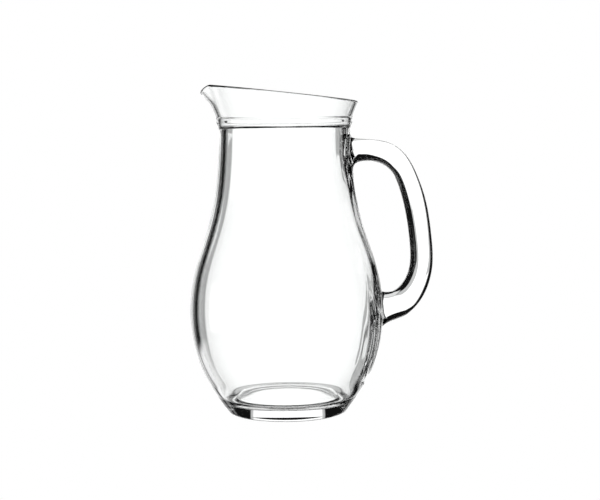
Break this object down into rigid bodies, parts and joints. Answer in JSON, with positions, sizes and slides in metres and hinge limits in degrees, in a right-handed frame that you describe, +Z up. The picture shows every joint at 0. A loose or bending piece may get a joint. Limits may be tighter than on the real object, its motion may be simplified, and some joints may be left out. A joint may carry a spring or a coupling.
{
  "type": "water jug",
  "caption": "Clear glass water jug with a bulbous body, collared neck, slanted flared rim, pulled pouring lip and solid glass loop handle.",
  "frame": {"origin": "centre of the foot ring, in the plane the jug stands on", "axes": "+Z up along the vessel's axis, handle towards +X, pouring lip towards -X"},
  "size_m": [0.1463, 0.116, 0.1962],
  "materials": {
    "vessel_glass": "clear colourless soda-lime glass, fire polished",
    "handle_glass": "clear colourless soda-lime glass, solid bar, fire polished"
  },
  "bodies": {
    "root": {"vessel": "vessel_glass", "handle": "handle_glass"}
  },
  "joints": []
}
